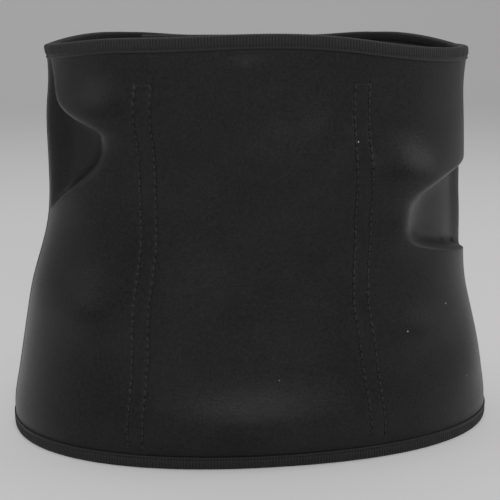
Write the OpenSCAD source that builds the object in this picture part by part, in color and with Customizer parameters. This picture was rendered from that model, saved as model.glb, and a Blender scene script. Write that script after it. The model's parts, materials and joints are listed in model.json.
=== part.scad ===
// Lumbar support belt: a laminated neoprene body belt that stands closed on its hem.
// The lumbar panel faces -Y and carries two captive stays. Two wings fold round the
// front (+Y) and close over each other with hook and loop. Millimetres, +Z up.

/* [Lumbar panel] */
// Height of the belt at the middle of the back
belt_h = 262; // [232:5:292]
// How far the rim dips at the sides
rim_dip = 8; // [2:1:14]
// Half width at the hem, over the hips
hem_half_w = 162.5; // [150:0.5:180]
// Half width at the waist
waist_half_w = 140.5; // [130:0.5:150]
// Half width at the rim, under the ribs
rim_half_w = 139.5; // [130:0.5:150]
// Depth of the panel behind the side seams at the hem
hem_back_d = 116; // [100:1:130]
// Depth of the panel behind the side seams at the waist
waist_back_d = 101; // [90:1:115]
// Depth of the panel behind the side seams at the rim
rim_back_d = 106.5; // [90:0.5:120]
// Height of the waist above the floor
waist_z = 165; // [150:5:180]
// Sideways lean of the rim over the hem
lean = 4; // [0:0.5:6]

/* [Side folds] */
// How far the fabric is pushed in at the left fold
left_fold_depth = 21; // [5:1:24]
// How far the fabric is pushed in at the right fold
right_fold_depth = 20; // [5:1:24]

/* [Front wings] */
// Depth of the front at the hem
hem_front_d = 84; // [78:1:96]
// Depth of the front at the rim
rim_front_d = 66; // [60:1:76]
// Where the outer wing ends, past the middle of the front
outer_wing_end = 45; // [35:1:55]
// Where the under wing ends, past the middle of the front
under_wing_end = 72; // [64:1:76]
// Bend radius of the front corners
corner_r = 24; // [18:1:30]

/* [Laminate] */
// Thickness of each jersey ply
jersey_t = 0.6; // [0.4:0.1:0.8]
// Thickness of the neoprene foam
foam_t = 3.7; // [2.7:0.1:4.2]

/* [Edge binding] */
// Width of the binding that shows on each side
binding_w = 7.6; // [6:0.2:9]
// Thickness of the elastic tape
tape_t = 1.2; // [0.8:0.1:1.4]

/* [Stays] */
// Width of a flat stay
stay_w = 8; // [6:0.5:9]
// Thickness of a flat stay
stay_t = 1.2; // [0.8:0.1:1.3]
// Distance between the two stitch rows of a channel
row_gap = 9.7; // [9.7:0.1:11]
// Length from one stitch to the next
stitch_pitch = 4.7; // [4:0.1:6]

/* [Hook and loop] */
// Width of the hook patch
hook_patch_w = 56; // [40:1:60]
// Width of the loop patch
loop_patch_w = 98; // [70:1:100]
// Height of both patches
patch_h = 196; // [150:1:200]

/* [Hidden] */

// Colours
face_black = "#29292b";
foam_black = "#1b1b1c";
tape_black = "#222224";
thread_grey = "#3c3c3f";
steel = "#9a9ca0";

// Plies, each given by how deep its two faces lie below the outer surface
ply_gap = 0.05;
tape_gap = 0.1;
face_ply = [0, jersey_t];
foam_ply = [jersey_t + ply_gap, jersey_t + ply_gap + foam_t];
lining_ply = [foam_ply[1] + ply_gap, foam_ply[1] + ply_gap + jersey_t];
wall_t = lining_ply[1];

// The wall stands inside the hem binding and reaches up into the rim binding
wall_foot = tape_t;
rim_h = belt_h - tape_t;
seam_y = (hem_back_d - hem_front_d) / 2;
seam_gap = 0.3;

// Channels, in degrees round the panel from the right side seam: at the hem, at the rim
// height, and how far the waist draws them round
channel_left = [230, 228.8, -1.6];
channel_right = [299.4, 294.4, 0];
waist_reach = 50;
channel_foot = 14;
channel_head = 232;
pocket_d = wall_t + 0.35;

// Under wing: how far it lies inside the outer wing, hook and loop between them
patch_t = 1.6;
wing_nest = wall_t + 2 * patch_t + 0.4;
patch_foot = 32;

// Where the sides swell or pinch, and where both lean over: height, reach, amount
width_changes = [[14, 18, 1.8], [200, 80, -0.8], [232, 18, -1.6]];
side_shifts = [[100, 30, -1.3], [215, 30, -1.3], [258, 8, -1.5]];
lean_foot = 88;
lean_run = 60;

// Rim of the panel: a rise on the left and a sag on the right, as angle, reach, amount
rim_rise = [218, 14, 1.6];
rim_sag = [316, 26, 4.3];
// Rim of each wing: how far it falls past its front bend, and over what length
end_sag = 2;
end_sag_run = 45;

// Half width at the front bends: at the hem, and at the rim on the left and on the right
hem_corner_x = 122;
rim_corner_x = [91, 106];

// Exponent of the panel's rounded plan, at the hem and at the rim
plan_power = [2.3, 2.45];

// Side folds: how far each ridge reaches from its seam, in degrees, and its height
left_fold_reach = 29;
right_fold_reach = 40.5;
left_fold_z = 200;
right_fold_z = 146;
left_fold_heading = 14;
right_fold_heading = 170;

// Grid steps
back_cols = 40;
wall_rows = 14;
wing_rows = 12;
leg_steps = 2;
arc_steps = 6;
flat_steps = 3;
wing_cols = leg_steps + arc_steps + flat_steps;

// ---------- Shape of the body ----------

function mix(a, b, u) = a + (b - a) * u;
function swing(u) = 0.5 - 0.5 * cos(180 * min(1, max(0, u)));
function steps(a, b, n) = [for (k = [0:n]) mix(a, b, k / n)];
function bell(v, power) = exp(-pow(abs(v), power));

// A width or depth that runs from hem through waist to rim
function hourglass(z, hem, waist, rim) =
    z < waist_z ? mix(hem, waist, swing(z / waist_z))
                : mix(waist, rim, swing((z - waist_z) / (rim_h - waist_z)));
// Sum of the local changes at a height
function local(z, changes) = [for (c = changes) c[2] * bell((z - c[0]) / c[1], 2)] * [for (c = changes) 1];
function half_w(z) = hourglass(z, hem_half_w, waist_half_w, rim_half_w) + local(z, width_changes);
function back_d(z) = hourglass(z, hem_back_d, waist_back_d, rim_back_d);
function front_d(z) = mix(hem_front_d, rim_front_d, z / rim_h);
function front_corner_x(side, z) = mix(hem_corner_x, rim_corner_x[side > 0 ? 1 : 0], z / rim_h);
function corner_power(z) = mix(plan_power[0], plan_power[1], z / rim_h);
function sway(z) = lean * swing((z - lean_foot) / lean_run) + local(z, side_shifts);
function signed_power(v, p) = sign(v) * pow(abs(v), p);

// How far each fold's ridge lies from its side seam, in degrees, at each height
function left_ridge(z) = let (up = z - left_fold_z) left_fold_reach
    * (up < 0 ? bell(up / 45, 2.6) : (0.45 + 0.55 * bell(up / 13, 2)) * bell(up / 70, 2));
function right_ridge(z) = let (up = z - right_fold_z) right_fold_reach
    * (up < 0 ? bell(up / 26, 3.6) : bell(up / 32, 4));
// A fold is a ramp that starts beside the seam and breaks off at the ridge
function fold_push(from_seam, ridge, reach, depth) = depth * 1.6 * from_seam / reach
    * bell(from_seam / max(ridge, 0.5), 5) * swing((from_seam - 4.4) / 8);
function folds(t, z) =
    let (l = fold_push(t - 180, left_ridge(z), left_fold_reach, left_fold_depth),
         r = fold_push(360 - t, right_ridge(z), right_fold_reach, right_fold_depth))
    l * [cos(left_fold_heading), sin(left_fold_heading)]
    + r * [cos(right_fold_heading), sin(right_fold_heading)];

// Unit normal of the panel's plan, and the point at polar angle t, height z, depth d
function back_normal(x, y, z) =
    let (p = corner_power(z) - 1,
         n = [signed_power(x / half_w(z), p) / half_w(z), signed_power(y / back_d(z), p) / back_d(z)])
    n / norm(n);
function back_point(t, z, d) =
    let (p = corner_power(z),
         r = pow(pow(abs(cos(t)) / half_w(z), p) + pow(abs(sin(t)) / back_d(z), p), -1 / p),
         x = r * cos(t), y = r * sin(t),
         n = back_normal(x, y, z), f = folds(t, z))
    [x - d * n[0] + f[0] + sway(z), y - d * n[1] + f[1] + seam_y, z];
function back_rim(t) = rim_h - rim_dip * pow(cos(t), 2)
    + rim_rise[2] * bell((t - rim_rise[0]) / rim_rise[1], 2)
    - rim_sag[2] * bell((t - rim_sag[0]) / rim_sag[1], 2);

// The panel stops just short of each side seam's plane
function seam_angle(z) = asin((seam_gap + 0.2) / half_w(z));
function back_angle(u, z) = mix(180 + seam_angle(z), 360 - seam_angle(z), u);

// A wing in its own mirror image: a leg from the side seam, a bend and a flat front.
// side is -1 for the outer wing and 1 for the under wing, k the station, d the depth below
// the surface. The under wing nests inside the outer one.
function in_by(side) = side > 0 ? wing_nest : 0;
function wing_end_x(side) = side > 0 ? -under_wing_end : -outer_wing_end;
function lean_in(side, z) = atan2(half_w(z) - front_corner_x(side, z), front_d(z) - in_by(side));
function bend_centre(side, z) =
    let (s = lean_in(side, z), cy = front_d(z) - in_by(side) - corner_r)
    [(half_w(z) * cos(s) - corner_r - cy * sin(s)) / cos(s), cy];
function wing_plan(side, k, z, d) =
    let (s = lean_in(side, z), c = bend_centre(side, z), r = corner_r - d,
         t0 = (seam_gap + d * sin(s)) / cos(s),
         foot = [half_w(z) - d * cos(s) - t0 * sin(s), seam_gap],
         beta = mix(s, 90, (k - leg_steps) / arc_steps))
    k < leg_steps ? mix(foot, c + r * [cos(s), sin(s)], k / leg_steps)
    : k <= leg_steps + arc_steps ? c + r * [cos(beta), sin(beta)]
    : [mix(c[0], wing_end_x(side), (k - leg_steps - arc_steps) / flat_steps), c[1] + r];
function wing_point(side, k, z, d) =
    let (p = wing_plan(side, k, z, d)) [side * (p[0] + side * sway(z)), p[1] + seam_y, z];
function wing_rim(side, k) =
    let (p = wing_plan(side, k, rim_h, 0), u = 1 - min(1, p[1] / (rim_front_d - wing_nest)),
         past_bend = max(0, bend_centre(side, rim_h)[0] - p[0]))
    rim_h - 1 - (rim_dip - 1) * u * u - end_sag * swing(past_bend / end_sag_run);

// ---------- Solids made from two grids of points ----------

// Closed solid between an outer and an inner grid with the same rows and columns
module slab(outer, inner) {
    rows = len(outer);
    cols = len(outer[0]);
    count = rows * cols;
    across = outer[0][1] - outer[0][0];
    up = outer[1][0] - outer[0][0];
    turned = cross(across, up) * (outer[0][0] - inner[0][0]) > 0;
    function o(i, j) = i * cols + j;
    function n(i, j) = count + i * cols + j;
    // Every quad is split from its low left to its high right corner, so that plies nest
    function quad(a, b, c, d, falls) = falls ? [[a, b, d], [b, c, d]] : [[a, b, c], [a, c, d]];
    skin = [for (i = [0:rows - 2], j = [0:cols - 2])
        let (falls = outer[i + 1][j][2] < outer[i][j][2])
        each concat(quad(o(i, j), o(i, j + 1), o(i + 1, j + 1), o(i + 1, j), falls),
                    quad(n(i, j), n(i + 1, j), n(i + 1, j + 1), n(i, j + 1), falls))];
    foot_and_head = [for (j = [0:cols - 2]) each [
        [o(0, j + 1), o(0, j), n(0, j)], [o(0, j + 1), n(0, j), n(0, j + 1)],
        [o(rows - 1, j), o(rows - 1, j + 1), n(rows - 1, j + 1)],
        [o(rows - 1, j), n(rows - 1, j + 1), n(rows - 1, j)]]];
    ends = [for (i = [0:rows - 2]) each [
        [o(i, 0), o(i + 1, 0), n(i + 1, 0)], [o(i, 0), n(i + 1, 0), n(i, 0)],
        [o(i + 1, cols - 1), o(i, cols - 1), n(i, cols - 1)],
        [o(i + 1, cols - 1), n(i, cols - 1), n(i + 1, cols - 1)]]];
    faces = concat(skin, foot_and_head, ends);
    polyhedron(points = concat([for (r = outer) each r], [for (r = inner) each r]),
               faces = turned ? [for (f = faces) [f[2], f[1], f[0]]] : faces);
}

// Heights of a ply's rows, with one at the edge of each binding
function levels(rim, rows) =
    concat([wall_foot], steps(wall_foot + binding_w, rim - binding_w, rows - 2), [rim]);

// One ply of the lumbar panel, from the hem binding up to the rim
module back_ply(ply) {
    function grid(d) = [for (i = [0:wall_rows]) [for (u = steps(0, 1, back_cols))
        let (z = levels(back_rim(back_angle(u, rim_h)), wall_rows)[i]) back_point(back_angle(u, z), z, d)]];
    slab(grid(ply[0]), grid(ply[1]));
}

// One ply of a wing
module wing_ply(side, ply) {
    function grid(d) = [for (i = [0:wing_rows]) [for (k = [0:wing_cols])
        wing_point(side, k, levels(wing_rim(side, k), wing_rows)[i], d)]];
    slab(grid(ply[0]), grid(ply[1]));
}

// The folded tape's section: depth below the surface and height from the edge it wraps
function tape_outside() =
    [[-tape_t, -binding_w], [-tape_t, 0], [-tape_t * 0.4, tape_t],
     [wall_t + tape_t * 0.4, tape_t], [wall_t + tape_t, 0], [wall_t + tape_t, -binding_w]];
function tape_inside() =
    [[-tape_gap, -binding_w], [-tape_gap, 0], [0, tape_gap],
     [wall_t, tape_gap], [wall_t + tape_gap, 0], [wall_t + tape_gap, -binding_w]];

// Binding of the lumbar panel: sense 1 at the rim, -1 at the hem
module back_binding(sense) {
    function edge_z(u) = sense > 0 ? back_rim(back_angle(u, rim_h)) : wall_foot;
    function grid(section) = [for (s = section) [for (u = steps(0, 1, back_cols))
        let (z = edge_z(u) + sense * s[1]) back_point(back_angle(u, max(z, 0)), z, s[0])]];
    slab(grid(tape_outside()), grid(tape_inside()));
}

// Binding along a wing's rim (sense 1) or hem (sense -1)
module wing_binding(side, sense) {
    function edge_z(k) = sense > 0 ? wing_rim(side, k) : wall_foot;
    function grid(section) = [for (s = section) [for (k = [0:wing_cols])
        wing_point(side, k, edge_z(k) + sense * s[1], s[0])]];
    slab(grid(tape_outside()), grid(tape_inside()));
}

// Heights from low to high that keep the rows of a ply between them
function rows_between(low, high, rim, rows) =
    concat([low], [for (z = levels(rim, rows)) if (z > low + 1 && z < high - 1) z], [high]);
function end_rows(side, clear) =
    let (rim = wing_rim(side, wing_cols)) rows_between(clear, rim + tape_t - clear, rim, wing_rows);

// Binding down a wing's free end, between its rim and hem bindings
module wing_end_binding(side) {
    rows = end_rows(side, binding_w + tape_t + 0.3);
    function grid(section) = [for (s = section) [for (z = rows)
        [side * (wing_end_x(side) - s[1] + side * sway(z)), front_d(z) - in_by(side) - s[0] + seam_y, z]]];
    slab(grid(tape_outside()), grid(tape_inside()));
}

// A seam thread laid flat on the binding, outside (face 1) or inside (face -1)
thread_w = 0.8;
thread_t = 0.25;
thread_line = binding_w * 0.7;
back_thread_gap = 0.4;
wing_thread_gap = 0.3;
function thread_d(face, gap) = face > 0 ? [-tape_t - thread_t - gap, -tape_t - gap]
                                        : [wall_t + tape_t + gap, wall_t + tape_t + gap + thread_t];
module back_thread(sense, face) {
    d = thread_d(face, back_thread_gap);
    function edge_z(u) = sense > 0 ? back_rim(back_angle(u, rim_h)) : wall_foot;
    function grid(depth) = [for (s = [-1, 1] * thread_w / 2) [for (u = steps(0, 1, back_cols))
        let (z = edge_z(u) - sense * (thread_line + s)) back_point(back_angle(u, z), z, depth)]];
    slab(grid(d[0]), grid(d[1]));
}
module wing_thread(side, sense, face) {
    d = thread_d(face, wing_thread_gap);
    function edge_z(k) = sense > 0 ? wing_rim(side, k) : wall_foot;
    function grid(depth) = [for (s = [-1, 1] * thread_w / 2) [for (k = [0:wing_cols])
        wing_point(side, k, edge_z(k) - sense * (thread_line + s), depth)]];
    slab(grid(d[0]), grid(d[1]));
}
module wing_end_thread(side, face) {
    d = thread_d(face, wing_thread_gap);
    rows = end_rows(side, binding_w + tape_t + 1);
    function grid(depth) = [for (s = [-1, 1] * thread_w / 2) [for (z = rows)
        [side * (wing_end_x(side) + thread_line + s + side * sway(z)),
         front_d(z) - in_by(side) - depth + seam_y, z]]];
    slab(grid(d[0]), grid(d[1]));
}
module wing_threads(side) {
    for (face = [-1, 1]) {
        for (sense = [-1, 1]) wing_thread(side, sense, face);
        wing_end_thread(side, face);
    }
}

// ---------- Stays and their channels ----------

// A strip up the panel: e is the distance round the panel from the channel's middle
function round_per_degree(at, z) = norm(back_point(at + 0.5, z, 0) - back_point(at - 0.5, z, 0));
function strip_point(channel, e, z, d) =
    let (drawn = channel[2] * bell((z - waist_z) / waist_reach, 2),
         at = mix(channel[0], channel[1], z / rim_h) + drawn)
    back_point(at + e / round_per_degree(at, z), z, d);
module strip(at, zs, half_ws, d0, d1) {
    function grid(d) = [for (i = [0:len(zs) - 1]) [for (e = [-1, 1])
        strip_point(at, e * half_ws[i], zs[i], d)]];
    slab(grid(d0), grid(d1));
}
tip_len = 7;
stay_foot = channel_foot + 5;
stay_head = channel_head - 5;
module stay(at) {
    zs = steps(stay_foot + tip_len + 0.1, stay_head - tip_len - 0.1, 10);
    strip(at, zs, [for (z = zs) stay_w / 2 - 0.2], pocket_d + 0.15, pocket_d + 0.05 + stay_t);
}
// Dipped tips: rounded ends that keep the steel from cutting the pocket
module stay_tips(at) {
    r = stay_w / 2;
    for (sense = [-1, 1]) {
        end = sense > 0 ? stay_head : stay_foot;
        ups = [tip_len, r, r * 0.6, r * 0.25, r * 0.05];
        strip(at, [for (u = ups) end - sense * u],
              [for (u = ups) u >= r ? r : sqrt(r * r - (r - u) * (r - u))],
              pocket_d + 0.05, pocket_d + stay_t + 0.15);
    }
}
// Pocket tape: two sewn flanges and a raised middle that holds the stay
module channel_tape(at) {
    hollow = row_gap / 2 - 0.3;
    lift = stay_t + 0.3;
    tape = 0.5;
    outer_path = [[-row_gap / 2 - 3, 0], [-hollow - 0.3, 0], [-hollow, lift],
                  [hollow, lift], [hollow + 0.3, 0], [row_gap / 2 + 3, 0]];
    inner_path = [[-row_gap / 2 - 3, tape], [-hollow - 0.8, tape], [-hollow - 0.5, lift + tape],
                  [hollow + 0.5, lift + tape], [hollow + 0.8, tape], [row_gap / 2 + 3, tape]];
    zs = steps(channel_foot, channel_head, 10);
    function grid(path) = [for (p = path) [for (z = zs) strip_point(at, p[0], z, pocket_d + p[1])]];
    slab(grid(outer_path), grid(inner_path));
}
// Stitches on the face, sitting just proud of it
stitch_len = stitch_pitch * 0.6;
module stitch_at(p, heading, pitch_up) {
    translate(p) rotate([0, pitch_up, heading]) cube([0.4, 0.8, stitch_len], center = true);
}
module channel_stitching(at) {
    n_rows = floor((channel_head - channel_foot) / stitch_pitch);
    proud = -0.45;
    for (e = [-1, 1] * row_gap / 2, i = [0:n_rows]) {
        z = channel_foot + i * stitch_pitch;
        p = strip_point(at, e, z, proud);
        above = strip_point(at, e, z + 1, proud);
        n = back_normal(p[0] - sway(z), p[1] - seam_y, z);
        heading = atan2(n[1], n[0]);
        stitch_at(p, heading, atan2((above - p) * [n[0], n[1], 0], 1));
    }
    for (e = steps(-row_gap / 2 + 2.4, row_gap / 2 - 2.4, 2), z = [channel_foot - 1, channel_head + 2]) {
        p = strip_point(at, e, z, proud);
        n = back_normal(p[0] - sway(z), p[1] - seam_y, z);
        translate(p) rotate([0, 0, atan2(n[1], n[0])]) cube([0.4, 1.6, 0.8], center = true);
    }
}

// ---------- Seams, label and patches ----------

// A strip beside a side seam: end is 1 for the right seam, e runs round the panel in degrees
module seam_strip(end, e0, e1, d0, d1) {
    rim = back_rim(end > 0 ? 360 : 180);
    rows = rows_between(wall_foot + binding_w + 1, rim - binding_w - 1, rim, wall_rows);
    function grid(d) = [for (z = rows) [for (e = [e0, e1]) let (a = seam_angle(z) + e)
        back_point(end > 0 ? 360 - a : 180 + a, z, d)]];
    slab(grid(d0), grid(d1));
}
// Tape inside a side seam, on the panel's edge of it
module side_seam_tape(end) seam_strip(end, 0.2, 4.2, wall_t + 0.4, wall_t + 0.9);
// Flat-locked thread down the outside of a side seam
module side_seam_thread(end) seam_strip(end, 0.2, 0.9, -0.45, -0.1);
// Blank care label sewn inside under the rim binding
module blank_label() {
    function grid(d) = [for (z = steps(206, rim_h - binding_w - 1, 4)) [for (t = steps(254, 262, 4))
        back_point(t, z, d)]];
    slab(grid(wall_t + 0.5), grid(wall_t + 0.8));
}
// A flat patch on a wing's front: x0 to x1 across, d0 to d1 below the wing's surface
module patch(side, x0, x1, z0, z1, d0, d1) {
    function grid(d) = [for (z = steps(z0, z1, wing_rows)) [for (x = [x0, x1])
        [side * (x + side * sway(z)), front_d(z) - in_by(side) - d + seam_y, z]]];
    slab(grid(d0), grid(d1));
}
// The stitched outline of a patch, a thin flat frame near its edge
module patch_stitching(side, x0, x1, z0, z1, d0, d1) {
    inset = 3;
    for (x = [x0 + inset, x1 - inset])
        patch(side, x - thread_w / 2, x + thread_w / 2, z0 + inset + 1, z1 - inset - 1, d0, d1);
    for (z = [z0 + inset, z1 - inset])
        patch(side, x0 + inset + 1, x1 - inset - 1, z - thread_w / 2, z + thread_w / 2, d0, d1);
}
hook_x0 = wing_end_x(-1) + binding_w + 1.4;
loop_x0 = wing_end_x(1) + binding_w + 1.4;

// ---------- Lumbar panel ----------
module back_foam() color(foam_black) back_ply(foam_ply);
module back_face() color(face_black) back_ply(face_ply);
module back_lining() color(face_black) back_ply(lining_ply);
module channel_tape_left() color(tape_black) channel_tape(channel_left);
module channel_tape_right() color(tape_black) channel_tape(channel_right);
module stay_left() color(steel) stay(channel_left);
module stay_right() color(steel) stay(channel_right);
module stay_tips_left() color(thread_grey) stay_tips(channel_left);
module stay_tips_right() color(thread_grey) stay_tips(channel_right);
module channel_stitching_left() color(thread_grey) channel_stitching(channel_left);
module channel_stitching_right() color(thread_grey) channel_stitching(channel_right);
module top_binding_back() color(tape_black) back_binding(1);
module hem_binding_back() color(tape_black) back_binding(-1);
module top_binding_thread_back() color(thread_grey) for (face = [-1, 1]) back_thread(1, face);
module hem_binding_thread_back() color(thread_grey) for (face = [-1, 1]) back_thread(-1, face);
module side_seam_tape_left() color(tape_black) side_seam_tape(-1);
module side_seam_tape_right() color(tape_black) side_seam_tape(1);
module side_seam_thread_left() color(thread_grey) side_seam_thread(-1);
module side_seam_thread_right() color(thread_grey) side_seam_thread(1);
module care_label() color("#d8d8d4") blank_label();

// ---------- Outer wing, from the left side seam ----------
module outer_wing_foam() color(foam_black) wing_ply(-1, foam_ply);
module outer_wing_face() color(face_black) wing_ply(-1, face_ply);
module outer_wing_lining() color(face_black) wing_ply(-1, lining_ply);
module outer_wing_top_binding() color(tape_black) wing_binding(-1, 1);
module outer_wing_hem_binding() color(tape_black) wing_binding(-1, -1);
module outer_wing_end_binding() color(tape_black) wing_end_binding(-1);
module outer_wing_binding_thread() color(thread_grey) wing_threads(-1);
module hook_patch() color(tape_black)
    patch(-1, hook_x0, hook_x0 + hook_patch_w, patch_foot, patch_foot + patch_h,
          wall_t + ply_gap, wall_t + patch_t);
module hook_patch_stitching() color(thread_grey)
    patch_stitching(-1, hook_x0, hook_x0 + hook_patch_w, patch_foot, patch_foot + patch_h,
                    wall_t + patch_t + 0.02, wall_t + patch_t + 0.12);

// ---------- Under wing, from the right side seam ----------
module under_wing_foam() color(foam_black) wing_ply(1, foam_ply);
module under_wing_face() color(face_black) wing_ply(1, face_ply);
module under_wing_lining() color(face_black) wing_ply(1, lining_ply);
module under_wing_top_binding() color(tape_black) wing_binding(1, 1);
module under_wing_hem_binding() color(tape_black) wing_binding(1, -1);
module under_wing_end_binding() color(tape_black) wing_end_binding(1);
module under_wing_binding_thread() color(thread_grey) wing_threads(1);
module loop_patch() color(tape_black)
    patch(1, loop_x0, loop_x0 + loop_patch_w, patch_foot, patch_foot + patch_h, -patch_t, -ply_gap);
module loop_patch_stitching() color(thread_grey)
    patch_stitching(1, loop_x0, loop_x0 + loop_patch_w, patch_foot, patch_foot + patch_h,
                    -patch_t - 0.12, -patch_t - 0.02);

back_foam();
back_face();
back_lining();
channel_tape_left();
channel_tape_right();
stay_left();
stay_right();
stay_tips_left();
stay_tips_right();
channel_stitching_left();
channel_stitching_right();
top_binding_back();
hem_binding_back();
top_binding_thread_back();
hem_binding_thread_back();
side_seam_tape_left();
side_seam_tape_right();
side_seam_thread_left();
side_seam_thread_right();
care_label();
outer_wing_foam();
outer_wing_face();
outer_wing_lining();
outer_wing_top_binding();
outer_wing_hem_binding();
outer_wing_end_binding();
outer_wing_binding_thread();
hook_patch();
hook_patch_stitching();
under_wing_foam();
under_wing_face();
under_wing_lining();
under_wing_top_binding();
under_wing_hem_binding();
under_wing_end_binding();
under_wing_binding_thread();
loop_patch();
loop_patch_stitching();
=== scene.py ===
# %% [markdown]
# # A lumbar support belt
# This lesson dresses a finished CAD frame of a neoprene body belt. The frame already knows
# every size, every joint and how the belt stands, so nothing here is moved to fit. We load it
# first. The finished belt has to stay inside it.

# %% Load the frame
import json
import math

import bpy
import numpy as np
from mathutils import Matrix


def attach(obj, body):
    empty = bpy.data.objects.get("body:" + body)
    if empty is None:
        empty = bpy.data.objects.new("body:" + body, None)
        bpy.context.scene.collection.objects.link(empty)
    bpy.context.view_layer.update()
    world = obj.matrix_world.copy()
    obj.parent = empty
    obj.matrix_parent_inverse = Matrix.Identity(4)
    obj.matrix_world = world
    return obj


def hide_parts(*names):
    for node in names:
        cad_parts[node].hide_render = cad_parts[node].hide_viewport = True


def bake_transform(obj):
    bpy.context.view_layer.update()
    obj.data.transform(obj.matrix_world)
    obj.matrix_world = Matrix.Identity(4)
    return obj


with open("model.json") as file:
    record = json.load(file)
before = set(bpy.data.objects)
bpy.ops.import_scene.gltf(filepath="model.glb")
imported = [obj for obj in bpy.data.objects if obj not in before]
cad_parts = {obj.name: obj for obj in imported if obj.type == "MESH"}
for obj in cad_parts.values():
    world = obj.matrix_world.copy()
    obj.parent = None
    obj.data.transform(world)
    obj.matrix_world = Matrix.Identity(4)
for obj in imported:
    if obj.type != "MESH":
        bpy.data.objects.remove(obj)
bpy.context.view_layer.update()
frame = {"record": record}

MM = 0.001

# %% [markdown]
# ## Camera
# The belt is seen from the wearer's back, a little from the left and from just above the
# rim, so that the far rim shows as a thin line. A longish lens keeps the sides upright.

# %% Camera
seam_y = frame["record"]["behaviour"]["joints"][0]["pos_m"][1] / MM
camera_turn = math.radians(-9.0)
camera_tilt = math.radians(11.44)
camera_distance = 781.5
camera_height = 271.0
camera_aside = 1.0
camera_data = bpy.data.cameras.new("camera")
camera_data.sensor_width = 36.0
camera_data.lens = 82.84
camera = bpy.data.objects.new("camera", camera_data)
bpy.context.scene.collection.objects.link(camera)
camera.location = (camera_distance * math.sin(camera_turn) * MM - camera_aside * MM,
                   (seam_y - camera_distance * math.cos(camera_turn)) * MM,
                   camera_height * MM)
camera.rotation_euler = (math.pi / 2 - camera_tilt, 0, camera_turn)
bpy.context.scene.camera = camera
print("camera at", [round(c, 3) for c in camera.location])

# %% [markdown]
# ## Floor, backdrop and light
# A black belt needs a white room: large pale surfaces give it soft grey edges and leave its
# front dark. The floor sweeps up into a backdrop. One wide soft box stands at each side, a
# larger one hangs overhead, and a low wide one in front and above picks out the folds. Their
# places and powers are set for this one view, together with the swellings below.

# %% Stage and lights
def plain_material(name, colour, roughness):
    material = bpy.data.materials.new(name)
    material.use_nodes = True
    shader = material.node_tree.nodes["Principled BSDF"]
    shader.inputs["Base Color"].default_value = (*colour, 1)
    shader.inputs["Roughness"].default_value = roughness
    return material


def deselect():
    if bpy.context.object and bpy.context.object.mode != "OBJECT":
        bpy.ops.object.mode_set(mode="OBJECT")
    bpy.ops.object.select_all(action="DESELECT")


def select_only(piece):
    deselect()
    piece.select_set(True)
    bpy.context.view_layer.objects.active = piece


def build_floor():
    deselect()
    bpy.ops.mesh.primitive_plane_add(size=8, location=(0, 0, 0))
    floor = bpy.context.object
    floor.name = "floor"
    bpy.ops.object.mode_set(mode="EDIT")
    bpy.ops.mesh.select_mode(type="EDGE")
    bpy.ops.mesh.select_all(action="DESELECT")
    bpy.ops.object.mode_set(mode="OBJECT")
    for edge in floor.data.edges:
        ends = [floor.data.vertices[v].co.y for v in edge.vertices]
        edge.select = min(ends) > 3.9
    bpy.ops.object.mode_set(mode="EDIT")
    bpy.ops.mesh.extrude_region_move(TRANSFORM_OT_translate={"value": (0, 0, 4)})
    bpy.ops.mesh.select_all(action="SELECT")
    bpy.ops.mesh.select_mode(type="VERT")
    bpy.ops.object.mode_set(mode="OBJECT")
    bend = floor.modifiers.new("sweep", "BEVEL")
    bend.width = 1.2
    bend.segments = 12
    bpy.ops.object.modifier_apply(modifier="sweep")
    bpy.ops.object.shade_smooth()
    floor.data.materials.append(plain_material("floor_paint", (0.92, 0.92, 0.92), 0.9))


def soft_box(name, place, aim, width, height, watts):
    light = bpy.data.lights.new(name, "AREA")
    light.shape = "RECTANGLE"
    light.size = width
    light.size_y = height
    light.energy = watts
    lamp = bpy.data.objects.new(name, light)
    bpy.context.scene.collection.objects.link(lamp)
    lamp.location = place
    away = np.array(place, float) - np.array(aim, float)
    flat = math.hypot(away[0], away[1])
    lamp.rotation_euler = (math.atan2(flat, away[2]), 0, math.atan2(away[1], away[0]) + math.pi / 2)


build_floor()
middle = (0, 0, 0.13)
soft_box("left_box", (-1.5, -0.1, 0.75), middle, 0.9, 0.6, 4.6)
soft_box("right_box", (1.5, -0.15, 0.75), middle, 0.9, 0.6, 6.8)
soft_box("front_box", (-0.1, -1.55, 1.0), middle, 1.1, 0.4, 15)
soft_box("top_box", (0, 0.4, 1.8), middle, 1.6, 1.0, 14)
world = bpy.data.worlds.new("white_room")
world.use_nodes = True
world.node_tree.nodes["Background"].inputs["Color"].default_value = (1, 1, 1, 1)
world.node_tree.nodes["Background"].inputs["Strength"].default_value = 0.37
bpy.context.scene.world = world
print("stage and four soft boxes")

# %% [markdown]
# ## The body shape
# Every panel of the belt lies on one smooth shape: an hourglass whose plan is a soft oval at
# the back and three straight runs with two bends at the front. The same few sizes as in the
# CAD model describe it. Angles run round the back from the left side seam (180) through the
# middle (270) to the right side seam (360).

# %% Sizes of the shape, in millimetres
belt_h = 262.0
tape_t = 1.2
wall_t = 5.0
wall_foot = tape_t
rim_h = belt_h - tape_t
rim_dip = 8.0
hem_size = (162.5, 116.0, 84.0)
waist_size = (140.5, 101.0)
rim_size = (139.5, 106.5, 66.0)
waist_z = 165.0
waist_reach = 50.0
lean, lean_foot, lean_run = 4.0, 88.0, 60.0
plan_power = (2.3, 2.45)
# Height, reach and amount: where the sides swell or pinch, and where both lean over
width_changes = [(14.0, 18.0, 1.8), (200.0, 80.0, -0.8), (232.0, 18.0, -1.6)]
side_shifts = [(100.0, 30.0, -1.3), (215.0, 30.0, -1.3), (258.0, 8.0, -1.5)]
front_corners = {-1: (122.0, 91.0), 1: (122.0, 106.0)}
rim_rise = (218.0, 14.0, 1.6)
rim_sag = (316.0, 26.0, 4.3)
end_sag, end_sag_run = 2.0, 45.0
corner_r = 24.0
patch_t = 1.6
wing_nest = wall_t + 2 * patch_t + 0.4
outer_wing_end = 45.0
under_wing_end = 72.0
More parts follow.
